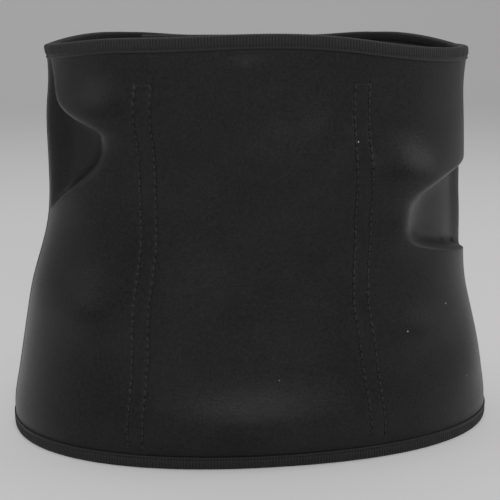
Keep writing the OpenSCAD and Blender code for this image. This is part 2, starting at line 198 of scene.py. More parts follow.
# By side: where a wing ends, and how far in it lies
wing_end_x = {-1: -outer_wing_end, 1: -under_wing_end}
wing_in_by = {-1: 0.0, 1: wing_nest}
# Channels: angle at the hem, angle at the rim, and how far the waist draws them round
channels = {"left": (230.0, 228.8, -1.6), "right": (299.4, 294.4, 0.0)}
channel_foot, channel_head = 14.0, 232.0
row_gap, stitch_pitch = 9.7, 4.7
binding_w = 7.6
rib_pitch = 1.87


def mix(a, b, u):
    return a + (b - a) * u


def swing(u):
    return 0.5 - 0.5 * np.cos(np.pi * np.clip(u, 0, 1))


def bell(v, power=2.0):
    return np.exp(-np.abs(v) ** power)


def hourglass(z, hem, waist, rim):
    below = mix(hem, waist, swing(z / waist_z))
    above = mix(waist, rim, swing((z - waist_z) / (rim_h - waist_z)))
    return np.where(z < waist_z, below, above)


def local(z, changes):
    return sum(amount * bell((z - at) / reach) for at, reach, amount in changes)


def half_w(z):
    return hourglass(z, hem_size[0], waist_size[0], rim_size[0]) + local(z, width_changes)


def back_d(z):
    return hourglass(z, hem_size[1], waist_size[1], rim_size[1])


def front_d(z):
    return mix(hem_size[2], rim_size[2], z / rim_h)


def sway(z):
    return lean * swing((z - lean_foot) / lean_run) + local(z, side_shifts)


def channel_at(which, z):
    foot, head, drawn = channels[which]
    return mix(foot, head, z / rim_h) + drawn * bell((z - waist_z) / waist_reach)


print("belt", belt_h, "mm tall, wall", wall_t, "mm")

# %% [markdown]
# ## Folds
# Neoprene is a foam sandwich, so it does not wrinkle finely: where the tube is squeezed it
# buckles in a few large smooth dents with one bright ridge each. Two deep folds sit at the
# sides; the rest are shallow swellings that catch the light. All of them are shaped for
# this one view, not simulated, and only the two deep folds are in the CAD model.

# %% Deep folds and shallow swellings
swellings = [
    # angle and half width in degrees; height, reach down, reach up and bulge in millimetres
    (263.0, 38.0, 24.0, 16.0, 21.0, 7.0),
    (219.0, 12.0, 214.0, 14.0, 18.0, 6.0),
    (306.0, 11.0, 176.0, 20.0, 19.0, 8.0),
    (318.0, 9.0, 168.0, 18.0, 18.0, 4.0),
    (309.0, 8.0, 140.0, 12.0, 16.0, 3.5),
    (276.0, 14.0, 176.0, 25.0, 34.0, 7.0),
    (286.0, 9.0, 200.0, 16.0, 18.0, 3.0),
    (216.0, 9.0, 90.0, 16.0, 20.0, 3.0),
    (312.0, 12.0, 76.0, 14.0, 16.0, 3.5),
    (331.0, 12.0, 48.0, 22.0, 22.0, 3.0),
]
fold_depth = {"left": 21.0, "right": 20.0}
fold_reach = {"left": 29.0, "right": 40.5}
fold_heading = {"left": 14.0, "right": 170.0}
left_fold_z, right_fold_z = 200.0, 146.0
fold_clear, fold_ease = 4.4, 8.0
crease_out, crease_width = 1.3, 6.0
crease_foot, crease_head = 260.0, 257.2


def left_ridge(z):
    """How far the left fold's ridge lies from the side seam, in degrees, at each height."""
    up = z - left_fold_z
    below = bell(up / 45, 2.6)
    above = (0.45 + 0.55 * bell(up / 13)) * bell(up / 70)
    return fold_reach["left"] * np.where(up < 0, below, above)


def right_ridge(z):
    """The same for the right fold, which breaks off more sharply above and below."""
    up = z - right_fold_z
    return fold_reach["right"] * np.where(up < 0, bell(up / 26, 3.6), bell(up / 32, 4))


def fold_push(from_seam, ridge, side):
    """A ramp that starts beside the seam and breaks off at the ridge."""
    u = from_seam / np.maximum(ridge, 0.5)
    held = swing((from_seam - fold_clear) / fold_ease)
    return fold_depth[side] * 1.6 * from_seam / fold_reach[side] * bell(u, 5) * held


def rounded(t, power, z):
    c, s = np.cos(np.radians(t)), np.sin(np.radians(t))
    return (np.abs(c / half_w(z)) ** power + np.abs(s / back_d(z)) ** power) ** (-1 / power)


def outside_back(t, z):
    c, s = np.cos(np.radians(t)), np.sin(np.radians(t))
    r = rounded(t, mix(*plan_power, z / rim_h), z)
    for at, width, height, down, up, out in swellings:
        r = r + out * bell((t - at) / width) * bell((z - height) / np.where(z < height, down, up))
    crease = swing((z - 84) / 20) * swing((252 - z) / 12)
    from_crease = t - mix(crease_foot, crease_head, z / rim_h)
    r = r + crease_out * crease * bell(from_crease / crease_width, 1)
    x, y = r * c, r * s
    deep_folds = (("left", t - 180, left_ridge(z)), ("right", 360 - t, right_ridge(z)))
    for side, from_seam, ridge in deep_folds:
        push = fold_push(from_seam, ridge, side)
        x = x + push * math.cos(math.radians(fold_heading[side]))
        y = y + push * math.sin(math.radians(fold_heading[side]))
    return np.stack([x + sway(z), y + seam_y, z + 0 * x], -1)


def wing_plan(side, k, z):
    """Point and outward normal of a wing; k runs 0-1 along the leg, 1-2 round the bend, 2-3 to the end."""
    a, b = half_w(z), front_d(z) - wing_in_by[side]
    s = np.arctan2(a - mix(*front_corners[side], z / rim_h), b)
    cy = b - corner_r
    cx = (a * np.cos(s) - corner_r - cy * np.sin(s)) / np.cos(s)
    leg, bend, flat = np.clip(k, 0, 1), np.clip(k - 1, 0, 1), np.clip(k - 2, 0, 1)
    beta = mix(s, np.pi / 2, bend)
    x = mix(a, cx + corner_r * np.cos(s), leg)
    y = mix(0.0, cy + corner_r * np.sin(s), leg)
    x = np.where(k > 1, cx + corner_r * np.cos(beta), x)
    y = np.where(k > 1, cy + corner_r * np.sin(beta), y)
    x = np.where(k > 2, mix(cx, wing_end_x[side], flat), x)
    return x, y, np.cos(beta), np.sin(beta)


def wing(side):
    def place(k, z, d=0.0):
        k, z = np.broadcast_arrays(np.asarray(k, float), np.asarray(z, float))
        x, y, nx, ny = wing_plan(side, k, z)
        x, y = x - d * nx, y - d * ny
        return np.stack([side * x + sway(z), y + seam_y, z], -1)
    return place


def back(t, z, d=0.0):
    t, z = np.broadcast_arrays(np.asarray(t, float), np.asarray(z, float))
    p = outside_back(t, z)
    across = outside_back(np.minimum(t + 2, 360), z) - outside_back(np.maximum(t - 2, 180), z)
    up = outside_back(t, z + 4) - outside_back(t, z - 4)
    n = np.cross(across, up)
    n = n / np.linalg.norm(n, axis=-1, keepdims=True)
    return p - n * np.asarray(d, float)[..., None]


def back_rim(t):
    rise = rim_rise[2] * bell((t - rim_rise[0]) / rim_rise[1])
    sag = rim_sag[2] * bell((t - rim_sag[0]) / rim_sag[1])
    return rim_h - rim_dip * np.cos(np.radians(t)) ** 2 + rise - sag


def wing_rim(side):
    def rim(k):
        k = np.asarray(k, float)
        x, y = wing_plan(side, k, rim_h)[:2]
        u = 1 - np.minimum(1, y / (rim_size[2] - wing_nest))
        past_bend = swing((wing_plan(side, 2.0, rim_h)[0] - x) / end_sag_run) * (k > 2)
        return rim_h - 1 - (rim_dip - 1) * u * u - end_sag * past_bend
    return rim


print("middle of the back at the waist:", back(270.0, waist_z).round(1))

# %% [markdown]
# ## Wrapping a flat cut
# Each ply starts as what it is before sewing: a flat grid of cloth. Its vertices are then
# laid on the body shape and Solidify gives it its thickness. The UV map keeps the flat
# cut's own measure in metres, so knit and ribs follow the cloth round every fold.

# %% Helpers that wrap cloth
def set_uv(piece, across, up):
    """Writes the flat measure, in metres, of each grid vertex to the UV map."""
    count = len(piece.data.loops)
    corner = np.empty(count, int)
    piece.data.loops.foreach_get("vertex_index", corner)
    uv = np.stack([across.ravel()[corner], up.ravel()[corner]], 1).ravel()
    piece.data.uv_layers.active.data.foreach_set("uv", uv)


def lengths(points, axis):
    """Running length along one axis of a grid of points."""
    step = np.linalg.norm(np.diff(points, axis=axis), axis=-1)
    start = np.zeros_like(np.take(step, [0], axis=axis))
    return np.concatenate([start, np.cumsum(step, axis=axis)], axis=axis)


def grid_piece(name, points, measure=None):
    """A grid primitive whose vertices are laid on points[row, column], in millimetres."""
    measure = points if measure is None else measure
    rows, cols = points.shape[:2]
    deselect()
    bpy.ops.mesh.primitive_grid_add(x_subdivisions=cols - 1, y_subdivisions=rows - 1, size=1)
    piece = bpy.context.object
    piece.name = piece.data.name = name
    set_uv(piece, lengths(measure, 1) * MM, lengths(measure, 0) * MM)
    piece.data.vertices.foreach_set("co", (points * MM).ravel())
    piece.data.update()
    return piece


def apply_modifier(piece, kind, **settings):
    select_only(piece)
    modifier = piece.modifiers.new(kind.lower(), kind)
    for key, value in settings.items():
        setattr(modifier, key, value)
    bpy.ops.object.modifier_apply(modifier=modifier.name)
    return piece


def smooth(piece, degrees=35):
    select_only(piece)
    bpy.ops.object.shade_smooth_by_angle(angle=math.radians(degrees))
    return piece


def ply(name, points, thickness, measure=None):
    """Cloth of one thickness whose outer face lies on points."""
    piece = grid_piece(name, points, measure)
    apply_modifier(piece, "SOLIDIFY", thickness=thickness * MM, offset=-1, use_even_offset=True)
    return smooth(piece)


def even(start, end, step):
    return np.linspace(start, end, max(2, int(round(abs(end - start) / step)) + 1))


def wall_rows(rim, step, foot=wall_foot):
    """Row heights as shares of each column's own height."""
    share = np.linspace(0, 1, int((rim_h - foot) / step) + 1)[:, None]
    return foot + share * (rim[None, :] - foot)


print("helpers ready")

# %% [markdown]
# ## Cloth materials
# The face is a fine black nylon jersey. Its wales are about half a millimetre wide, so from
# a metre away they only show as a soft grain and a faint sheen where the cloth turns away.
# The pattern is drawn in the cloth's own measure: upright wales from one sine wave, broken up
# by grain at two scales.

# %% Node helpers
class Nodes:
    """A few short calls for wiring a material."""

    def __init__(self, name):
        self.material = bpy.data.materials.new(name)
        self.material.use_nodes = True
        self.tree = self.material.node_tree
        self.shader = self.tree.nodes["Principled BSDF"]

    def add(self, kind, **inputs):
        node = self.tree.nodes.new(kind)
        for key, value in inputs.items():
            if hasattr(node, key) and key[0].islower():
                setattr(node, key, value)
            else:
                self.feed(node.inputs[key.replace("_", " ")], value)
        return node

    def feed(self, socket, value):
        if isinstance(value, bpy.types.NodeSocket):
            self.tree.links.new(value, socket)
        else:
            socket.default_value = value

    def math(self, operation, a, b=0.0, c=0.0):
        node = self.tree.nodes.new("ShaderNodeMath")
        node.operation = operation
        for socket, value in zip(node.inputs, (a, b, c)):
            self.feed(socket, value)
        return node.outputs[0]

    def cloth_measure(self):
        """The cloth's own measure: across and up, in metres."""
        uv = self.tree.nodes.new("ShaderNodeUVMap")
        split = self.tree.nodes.new("ShaderNodeSeparateXYZ")
        self.tree.links.new(uv.outputs[0], split.inputs[0])
        return split.outputs[0], split.outputs[1]

    def place(self):
        return self.tree.nodes.new("ShaderNodeTexCoord").outputs["Object"]

    def noise(self, scale, detail=3.0, vector=None, roughness=0.5):
        node = self.tree.nodes.new("ShaderNodeTexNoise")
        self.feed(node.inputs["Vector"], vector if vector else self.place())
        node.inputs["Scale"].default_value = scale
        node.inputs["Detail"].default_value = detail
        node.inputs["Roughness"].default_value = roughness
        return node.outputs[0]

    def shade(self, factor, dark, light, low=0.0, high=1.0):
        """A colour between dark and light as factor goes from low to high."""
        ramp = self.tree.nodes.new("ShaderNodeValToRGB")
        ramp.color_ramp.elements[0].position = low
        ramp.color_ramp.elements[0].color = (*dark, 1)
        ramp.color_ramp.elements[1].position = high
        ramp.color_ramp.elements[1].color = (*light, 1)
        self.tree.links.new(factor, ramp.inputs[0])
        return ramp.outputs[0]

    def bump(self, height, distance, strength=1.0):
        node = self.tree.nodes.new("ShaderNodeBump")
        node.inputs["Strength"].default_value = strength
        node.inputs["Distance"].default_value = distance
        self.tree.links.new(height, node.inputs["Height"])
        self.tree.links.new(node.outputs[0], self.shader.inputs["Normal"])

    def finish(self, roughness, specular, sheen=0.0, sheen_roughness=0.4):
        self.feed(self.shader.inputs["Roughness"], roughness)
        self.shader.inputs["Specular IOR Level"].default_value = specular
        self.shader.inputs["Sheen Weight"].default_value = sheen
        self.shader.inputs["Sheen Roughness"].default_value = sheen_roughness
        return self.material


# %% Jersey, foam, tapes and thread
def knit_height(nodes, wale):
    """Height of a fine knit: upright wales, broken up by a stretched grain."""
    across, up = nodes.cloth_measure()
    wander = nodes.math("MULTIPLY", nodes.noise(60.0, 2.0), 3.0)
    x = nodes.math("ADD", nodes.math("DIVIDE", across, wale), wander)
    ridge = nodes.math("ABSOLUTE", nodes.math("SINE", nodes.math("MULTIPLY", x, math.pi)))
    return nodes.math("POWER", ridge, 0.6)


def jersey(name, dark, light, wale, specks=True):
    nodes = Nodes(name)
    knit = nodes.math("MULTIPLY", knit_height(nodes, wale), 0.15)
    fine = nodes.noise(1500.0, 2.0)
    coarse = nodes.noise(620.0, 2.0)
    grain = nodes.math("ADD", nodes.math("MULTIPLY", fine, 0.5), nodes.math("MULTIPLY", coarse, 0.5))
    cloud = nodes.noise(22.0, 3.0)
    tone = nodes.math("ADD", nodes.math("MULTIPLY", grain, 0.75), nodes.math("MULTIPLY", cloud, 0.25))
    colour = nodes.shade(tone, dark, light, 0.38, 0.62)
    if specks:
        lint = nodes.tree.nodes.new("ShaderNodeTexVoronoi")
        nodes.feed(lint.inputs["Vector"], nodes.place())
        lint.inputs["Scale"].default_value = 60.0
        near = nodes.math("LESS_THAN", lint.outputs["Distance"], 0.03)
        picked = nodes.tree.nodes.new("ShaderNodeSeparateColor")
        nodes.tree.links.new(lint.outputs["Color"], picked.inputs[0])
        rare = nodes.math("GREATER_THAN", picked.outputs[0], 0.84)
        mixer = nodes.tree.nodes.new("ShaderNodeMix")
        mixer.data_type = "RGBA"
        nodes.feed(mixer.inputs["Factor"], nodes.math("MULTIPLY", near, rare))
        nodes.tree.links.new(colour, mixer.inputs["A"])
        mixer.inputs["B"].default_value = (0.30, 0.30, 0.30, 1)
        colour = mixer.outputs["Result"]
    nodes.feed(nodes.shader.inputs["Base Color"], colour)
    nodes.bump(nodes.math("ADD", knit, grain), 0.00022, 1.0)
    rough = nodes.math("MULTIPLY_ADD", grain, 0.16, 0.34)
    return nodes.finish(rough, 0.2)


def tape_material(name, dark, light, thread_pitch, sheen, roughness, rib=0.0):
    """Woven tape; rib is the distance between its ribs, whose hollows get painted shade: darker colour in
    the hollows, lighter on the crests.
    """
    nodes = Nodes(name)
    across, up = nodes.cloth_measure()
    turns = [nodes.math("MULTIPLY", v, math.pi / thread_pitch) for v in (across, up)]
    warp, weft = [nodes.math("ABSOLUTE", nodes.math("SINE", turn)) for turn in turns]
    weave = nodes.math("MULTIPLY", nodes.math("ADD", warp, 0.3), nodes.math("ADD", weft, 0.5))
    fuzz = nodes.noise(1800.0, 2.0)
    tone = nodes.math("MULTIPLY_ADD", fuzz, 0.5, nodes.math("MULTIPLY", weave, 0.35))
    if rib:
        # Painted shade: the colour is darker in the rib hollows and lighter on the rib crests.
        painted_rib_shade = nodes.math("COSINE", nodes.math("MULTIPLY", across, 2 * math.pi / rib))
        tone = nodes.math("MULTIPLY_ADD", painted_rib_shade, 0.2, tone)
    nodes.feed(nodes.shader.inputs["Base Color"], nodes.shade(tone, dark, light, 0.25, 0.75))
    nodes.bump(nodes.math("ADD", weave, fuzz), 0.00008, 0.8)
    return nodes.finish(nodes.math("MULTIPLY_ADD", fuzz, 0.2, roughness), 0.2, sheen, 0.3)


def grained(name, dark, light, scale, depth, roughness, specular, metallic=0.0, sheen=0.0):
    nodes = Nodes(name)
    grain = nodes.noise(scale, 4.0)
    nodes.feed(nodes.shader.inputs["Base Color"], nodes.shade(grain, dark, light, 0.3, 0.7))
    nodes.shader.inputs["Metallic"].default_value = metallic
    nodes.bump(grain, depth)
    return nodes.finish(nodes.math("MULTIPLY_ADD", grain, 0.15, roughness), specular, sheen)


materials = {
    "jersey_face": jersey("black_jersey", (0.0030,) * 3, (0.0120, 0.0120, 0.0124), 0.00055),
    "jersey_lining": jersey("lining_jersey", (0.009,) * 3, (0.018, 0.018, 0.019), 0.0007, False),
    "neoprene_foam": grained("neoprene_foam", (0.006,) * 3, (0.014,) * 3, 900, 0.0002, 0.75, 0.2),
    # The rib pitch given here also paints shade into the hollows between the binding's ribs.
    "elastic_binding": tape_material("ribbed_elastic", (0.004,) * 3, (0.022, 0.022, 0.023),
                                     0.0006, 0.05, 0.48, rib_pitch * MM),
    "woven_tape": tape_material("woven_tape", (0.010,) * 3, (0.022, 0.022, 0.023), 0.0009, 0.15, 0.5),
    "thread": tape_material("thread", (0.009,) * 3, (0.020,) * 3, 0.0003, 0.2, 0.4),
    "stay_steel": grained("spring_steel", (0.40, 0.40, 0.41), (0.60, 0.60, 0.61), 300,
                          0.00003, 0.25, 0.5, 1.0),
    "stay_tip": grained("dipped_tip", (0.02,) * 3, (0.035,) * 3, 500, 0.00005, 0.5, 0.4),
    "hook_tape": tape_material("hook_tape", (0.008,) * 3, (0.018,) * 3, 0.0011, 0.05, 0.45),
    "loop_tape": grained("loop_pile", (0.008,) * 3, (0.024,) * 3, 1400, 0.0006, 0.8, 0.1, 0.0, 0.5),
    "label": tape_material("satin_label", (0.60, 0.60, 0.57), (0.78, 0.78, 0.75), 0.0004, 0.3, 0.4),
}
print(len(materials), "materials")


def dress(piece, slot_name, body, *nodes):
    """Material, slot, body and the CAD nodes that a finished piece stands for."""
    piece.data.materials.clear()
    piece.data.materials.append(materials[slot_name])
    if body:
        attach(piece, body)
    if nodes:
        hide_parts(*nodes)
    faces = len(piece.data.polygons)
    print(f"{piece.name}: {faces} faces, {slot_name}")
    return piece


def flat_size(points):
    """Width and length of the flat cut, in metres."""
    width = float(np.median(lengths(points, 1)[:, -1])) * MM
    length = float(np.median(lengths(points, 0)[-1])) * MM
    return (max(width, length), min(width, length))


# %% [markdown]
# ## Lumbar panel
# Three plies, laminated: outer jersey, foam, lining. The outer jersey is the one that is
# seen, so its grid is fine enough to hold every stitch hole of the two stay channels: a
# needle pulls the foam down in a small pit, and the thread lies in a shallow groove between
# pits. Columns crowd together at the stitch rows and are wide apart elsewhere.

# %% Lumbar panel
pit_depth, groove_depth = 1.25, 0.12
jersey_t = 0.6


def mm_per_degree(t, z):
    return np.linalg.norm(outside_back(t + 0.5, z) - outside_back(t - 0.5, z), axis=-1)


def stitch_rows_at(t, z):
    """Distances in millimetres to the nearest stitch row and to the channel's middle."""
    nearest = np.full(t.shape, 1e3)
    middle = np.full(t.shape, 1e3)
    for which in channels:
        at = channel_at(which, z)
        e = (t - at) * mm_per_degree(at, z)
        nearest = np.minimum(nearest, np.abs(np.abs(e) - row_gap / 2))
        middle = np.minimum(middle, np.abs(e))
    return nearest, middle


def stitch_relief(t, z):
    """How deep the outer jersey is pulled in, in millimetres."""
    e, middle = stitch_rows_at(t, z)
    started = swing((z - channel_foot + 2) / 2)
    ends = started * swing((channel_head + 3 - z) / 2)
    phase = (z - channel_foot) / stitch_pitch + 0.5
    from_hole = (phase - np.round(phase)) * stitch_pitch
    pit = pit_depth * bell(e / 0.9) * bell(from_hole / 0.95)
    groove = groove_depth * bell(e / 1.6)
    over_stay = 0.15 * bell(middle / 3.4)
    unthreaded = 0.35 * (1 - ends) * started * (z > channel_foot)
    return (ends + unthreaded) * (pit + groove) - ends * over_stay


def panel_columns(step):
    """Angles of the columns at the waist, crowded together at the four stitch rows."""
    base = even(180, 360, step)
    offsets = np.array([-2.6, -1.8, -1.2, -0.75, -0.35, 0, 0.35, 0.75, 1.2, 1.8, 2.6])
    extra = []
    for which in channels:
        at = channel_at(which, waist_z)
        for row in (-row_gap / 2, row_gap / 2):
            extra.extend(at + (row + offsets) / mm_per_degree(at, waist_z))
    extra = np.array(extra)
    keep = [t for t in base if np.abs(extra - t).min() > 0.45]
    return np.sort(np.concatenate([keep, extra]))


def follow_channels(t, z):
    """Slides the columns near each channel sideways, so that they run along its stitch rows."""
    moved = t + 0 * z
    for which in channels:
        middle = channel_at(which, waist_z)
        here = channel_at(which, z)
        spread = mm_per_degree(middle, waist_z) / mm_per_degree(here, z)
        target = here + (t - middle) * spread
        weight = 1 - swing((np.abs(t - middle) - 4) / 14)
        moved = moved + weight * (target - t)
    return moved


def panel_ply(name, depth, thickness, step, row_step, stitched, slot_name, node):
    u = panel_columns(step) if stitched else even(180, 360, step)
    z = wall_rows(back_rim(u), row_step)
    t = np.broadcast_to(u[None, :], z.shape)
    d = np.full(z.shape, depth)
    if stitched:
        t = follow_channels(t, z)
        d = d + stitch_relief(t, z)
    points = back(t, z, d)
    piece = ply(name, points, thickness, back(t, z, depth))
    dress(piece, slot_name, "back", node)
    flat_size(points)


panel_ply("lumbar_face", 0.0, jersey_t, 1.4, 1.25, True, "jersey_face", "back_face")
panel_ply("lumbar_foam", 0.95, 3.3, 2.5, 5.0, False, "neoprene_foam", "back_foam")
panel_ply("lumbar_lining", wall_t - jersey_t, jersey_t, 1.4, 2.5, False, "jersey_lining", "back_lining")

# %% [markdown]
# ## Wings
# The two front wings are the same laminate. They lie on straight runs, so a coarser grid is
# enough.

# %% Wings
sides = {"outer_wing": -1, "under_wing": 1}


def bend_at_seam(piece):
    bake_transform(piece)


def wing_stations(side, step, z=120.0):
    k = np.linspace(0, 3, 1501)
    run = lengths(wing(side)(k, np.full_like(k, z)), 0)
    return np.interp(even(0, run[-1], step), run, k)


def wing_points(side, step, row_step, depth):
    k = wing_stations(side, step)
    if side < 0:
        k = k[::-1]
    z = wall_rows(wing_rim(side)(k), row_step)
    return wing(side)(np.broadcast_to(k[None, :], z.shape), z, depth)


def wing_ply(body, part, depth, thickness, step, row_step, slot_name):
    points = wing_points(sides[body], step, row_step, depth)
    piece = ply(f"{body}_{part}_cloth", points, thickness)
    dress(piece, slot_name, None, f"{body}_{part}")
    bend_at_seam(piece)
    flat_size(points)


for body in sides:
    wing_ply(body, "face", 0.0, jersey_t, 2.0, 2.5, "jersey_face")
    wing_ply(body, "foam", 0.8, 3.5, 4.0, 6.0, "neoprene_foam")
    wing_ply(body, "lining", wall_t - jersey_t, jersey_t, 2.0, 2.5, "jersey_lining")

# %% [markdown]
# ## Ribbed elastic binding
# A 20 mm elastic tape is folded over the raw edge and sewn through with one row. Its ribs
# run across the fold every 1.9 mm. The needle row pulls a groove into the tape and leaves
# a thin smooth lip below it. The tape's section is swept along the edge; ribs are real.

# %% Binding
rib_depth = 0.38
groove_up = 2.0
needle_row = binding_w - groove_up
needle_pitch = 3.0


def tape_section():
    """Closed section of the folded tape: depth into the wall, height over the edge, rib share."""
    lip, groove_h = -binding_w, -binding_w + groove_up
    outside = [(0.02, lip, 0), (-0.75, lip + 0.05, 0), (-1.05, lip + 0.45, 0), (-1.05, lip + 1.05, 0),
               (-0.55, groove_h - 0.35, 0), (-0.45, groove_h, 0), (-0.6, groove_h + 0.35, 0.3),
               (-1.1, groove_h + 0.9, 1), (-1.2, -3.2, 1), (-1.2, -1.6, 1)]
    top = [(-1.12, -0.5, 1), (-0.75, 0.35, 1), (0.1, 0.95, 1), (1.2, 1.18, 1), (2.5, 1.2, 1)]
    half = outside + top
    other = [(wall_t - d, h, rib) for d, h, rib in reversed(half[:-1])]
    hollow = [(wall_t - 0.02, -0.6, 0), (wall_t - 0.6, 0.02, 0), (0.6, 0.02, 0), (0.02, -0.6, 0)]
    return np.array(half + other + hollow + [half[0]])


def ribbed_section(run):
    """Depth and height of the tape's section at each station, pulled in between two ribs."""
    section = tape_section()
    valley = rib_depth * (0.5 - 0.5 * np.cos(2 * np.pi * run / rib_pitch))
    d, h, share = (section[:, i:i + 1] for i in range(3))
    inner = np.where(d > wall_t / 2, -1, 1)
    at_top = np.clip((h + 0.5) / 1.6, 0, 1)
    return d + valley * share * (1 - at_top) * inner, h - valley * share * at_top


def tape_sweep(place, stations, edge, sense, run):
    """Grid of points of a tape swept along an edge: one row for each point of its section."""
    d, h = ribbed_section(run)
    z = edge[None, :] + sense * h
    return place(np.broadcast_to(stations[None, :], z.shape), np.maximum(z, 0.0), d)


def close_tape(name, points, run, body, *nodes):
    """Joins the swept section into a closed tape, with both of its ends filled."""
    round_section = lengths(points, 0)[:, :1] + 0 * run
    flat = np.stack([run + 0 * round_section, round_section, 0 * round_section], -1)
    piece = grid_piece(name, points, flat)
    select_only(piece)
    bpy.ops.object.mode_set(mode="EDIT")
    bpy.ops.mesh.select_all(action="SELECT")
    bpy.ops.mesh.remove_doubles(threshold=0.000001)
    bpy.ops.mesh.fill_holes(sides=0)
    bpy.ops.mesh.select_all(action="SELECT")
    bpy.ops.mesh.normals_make_consistent(inside=False)
    bpy.ops.object.mode_set(mode="OBJECT")
    smooth(piece, 50)
    dress(piece, "elastic_binding", body, *nodes)
    return piece


def binding(name, place, stations, edge, sense, flip, body, *nodes):
    run = lengths(place(stations, edge), 0)
    points = tape_sweep(place, stations, edge, sense, run)
    if flip:
        return close_tape(name, points[:, ::-1], run[-1] - run[::-1], body, *nodes)
    return close_tape(name, points, run, body, *nodes)


def even_stations(place, low, high, z, step):
    k = np.linspace(low, high, 4001)
    run = lengths(place(k, np.full_like(k, z)), 0)
    return np.interp(even(0, run[-1], step), run, k)


column = rib_pitch / 5
for name, z, sense in (("top_binding", rim_h, 1), ("hem_binding", wall_foot, -1)):
    t = even_stations(back, 180, 360, z, column)
    edge = back_rim(t) if sense > 0 else np.full_like(t, wall_foot)
    binding(f"lumbar_{name}", back, t, edge, sense, False, "back", f"{name}_back")
    for body, side in sides.items():
        place = wing(side)
        k = even_stations(place, 0, 3, z, column)
        edge = wing_rim(side)(k) if sense > 0 else np.full_like(k, wall_foot)
        piece = binding(f"{body}_{name}_tape", place, k, edge, sense, side < 0, None, f"{body}_{name}")
        bend_at_seam(piece)


def wing_end(side):
    """The flat end of a wing: distance past its free edge, height, depth."""
    def place(past, z, d=0.0):
        past, z = np.broadcast_arrays(np.asarray(past, float), np.asarray(z, float))
        y = front_d(z) - wing_in_by[side] - d + seam_y
        return np.stack([side * (wing_end_x[side] - past) + sway(z), y, z], -1)
    return place


end_clear = binding_w + 0.2


def end_binding(body, side):
    """Tape down a wing's free end, between the rim and hem tapes."""
    z = even(end_clear + wall_foot, float(wing_rim(side)(3.0)) - end_clear, column)
    d, h = ribbed_section(z - z[0])
    points = wing_end(side)(h, np.broadcast_to(z[None, :], h.shape), d)
    return close_tape(f"{body}_end_binding_tape", points, z - z[0], body, f"{body}_end_binding")


for body, side in sides.items():
    end_binding(body, side)

# %% [markdown]
# ## Thread
# A stitch is a short rounded piece of thread lying along its row. It is modelled once from a
# sphere, stretched and squared at its ends, and copied to every place of a row.

# %% Stitches
def in_order(points, faces):
    """The same shape with points and faces in a fixed order, which edit mode does not keep."""
    order = np.lexsort(np.round(points, 5).T)
    rank = np.argsort(order)
    turned = []
    for face in faces:
        face = [int(rank[v]) for v in face]
        first = face.index(min(face))
        turned.append(tuple(face[first:] + face[:first]))
    return points[order], sorted(turned)


def one_stitch(length, thickness):
    deselect()
    bpy.ops.mesh.primitive_uv_sphere_add(segments=6, ring_count=5, radius=0.5)
    stitch = bpy.context.object
    bpy.ops.object.mode_set(mode="EDIT")
    bpy.ops.mesh.select_all(action="SELECT")
    bpy.ops.transform.resize(value=(thickness, thickness, length))
    bpy.ops.object.mode_set(mode="OBJECT")
    points = np.array([v.co[:] for v in stitch.data.vertices])
    faces = [tuple(p.vertices) for p in stitch.data.polygons]
    half = length / 2
    square_end = np.sign(points[:, 2]) * half * (np.abs(points[:, 2]) / half) ** 0.6
    points[:, 2] = square_end
    bpy.data.objects.remove(stitch)
    return in_order(points, faces)


def copies(name, shape, faces, centres, axes, slot_name, body, *nodes):
    """One piece that holds a copy of a small shape at each centre, turned to its three axes."""
    points = centres[:, None] + sum(shape[None, :, i:i + 1] * axes[i][:, None] for i in range(3))
    count = len(shape)
    all_faces = [tuple(v + i * count for v in f) for i in range(len(centres)) for f in faces]
    mesh = bpy.data.meshes.new(name)
    mesh.from_pydata((points.reshape(-1, 3) * MM).tolist(), [], all_faces)
    mesh.uv_layers.new(name="UVMap")
    piece = bpy.data.objects.new(name, mesh)
    bpy.context.scene.collection.objects.link(piece)
    set_uv(piece, np.tile(shape[:, 0] * MM, len(centres)), np.tile(shape[:, 2] * MM, len(centres)))
    select_only(piece)
    bpy.ops.object.shade_smooth()
    return dress(piece, slot_name, body, *nodes)


def sew(name, centres, along, out, length, thickness, body, *nodes):
    """One piece that holds a copy of the stitch at each centre."""
    along = along / np.linalg.norm(along, axis=1, keepdims=True)
    across = np.cross(out, along)
    across = across / np.linalg.norm(across, axis=1, keepdims=True)
    axes = (across, np.cross(along, across), along)
    return copies(name, *one_stitch(length, thickness), centres, axes, "thread", body, *nodes)


def frames(place, u, z, d, du, dz):
    """Centres, directions along (du, dz) and outward normals of points on a surface."""
    centre = place(u, z, d)
    along = place(u + du, z + dz, d) - centre
    out = centre - place(u, z, d + 1.0)
    return centre, along, out


channel_stitch = (2.0, 0.95)
binding_stitch = (2.3, 0.42)


def channel_stitches(which):
    z = np.arange(channel_foot, channel_head + 0.1, stitch_pitch)
    at = channel_at(which, z)
    parts = [frames(back, at + row / mm_per_degree(at, z), z, np.full_like(z, 0.12), 0.0, 0.5)
             for row in (-row_gap / 2, row_gap / 2)]
    bar = np.array([-3.2, -1.1, 1.1, 3.2])
    head = np.full_like(bar, channel_head)
    at = channel_at(which, head)
    parts.append(frames(back, at + bar / mm_per_degree(at, head), head, np.full_like(bar, 0.12), 0.3, 0.0))
    sew(f"channel_thread_{which}", *[np.concatenate(part) for part in zip(*parts)],
        *channel_stitch, "back", f"channel_stitching_{which}")


for which in channels:
    channel_stitches(which)


def binding_stitches(name, place, low, high, edges, body, *nodes):
    """Needle rows in the binding's groove, outside and inside."""
    parts = []
    for z0, edge, sense in edges:
        u = even_stations(place, low, high, z0, needle_pitch)
        u = (u[1:] + u[:-1]) / 2
        z = edge(u) - sense * needle_row
        for d, turn in ((-0.5, 1), (wall_t + 0.5, -1)):
            centre, along, out = frames(place, u, z, np.full_like(u, d), 0.02 * (high - low) / 3, 0.0)
            parts.append((centre, along, out * turn))
    return sew(name, *[np.concatenate(part) for part in zip(*parts)], *binding_stitch, body, *nodes)


def foot_edge(u):
    return np.full_like(u, wall_foot)


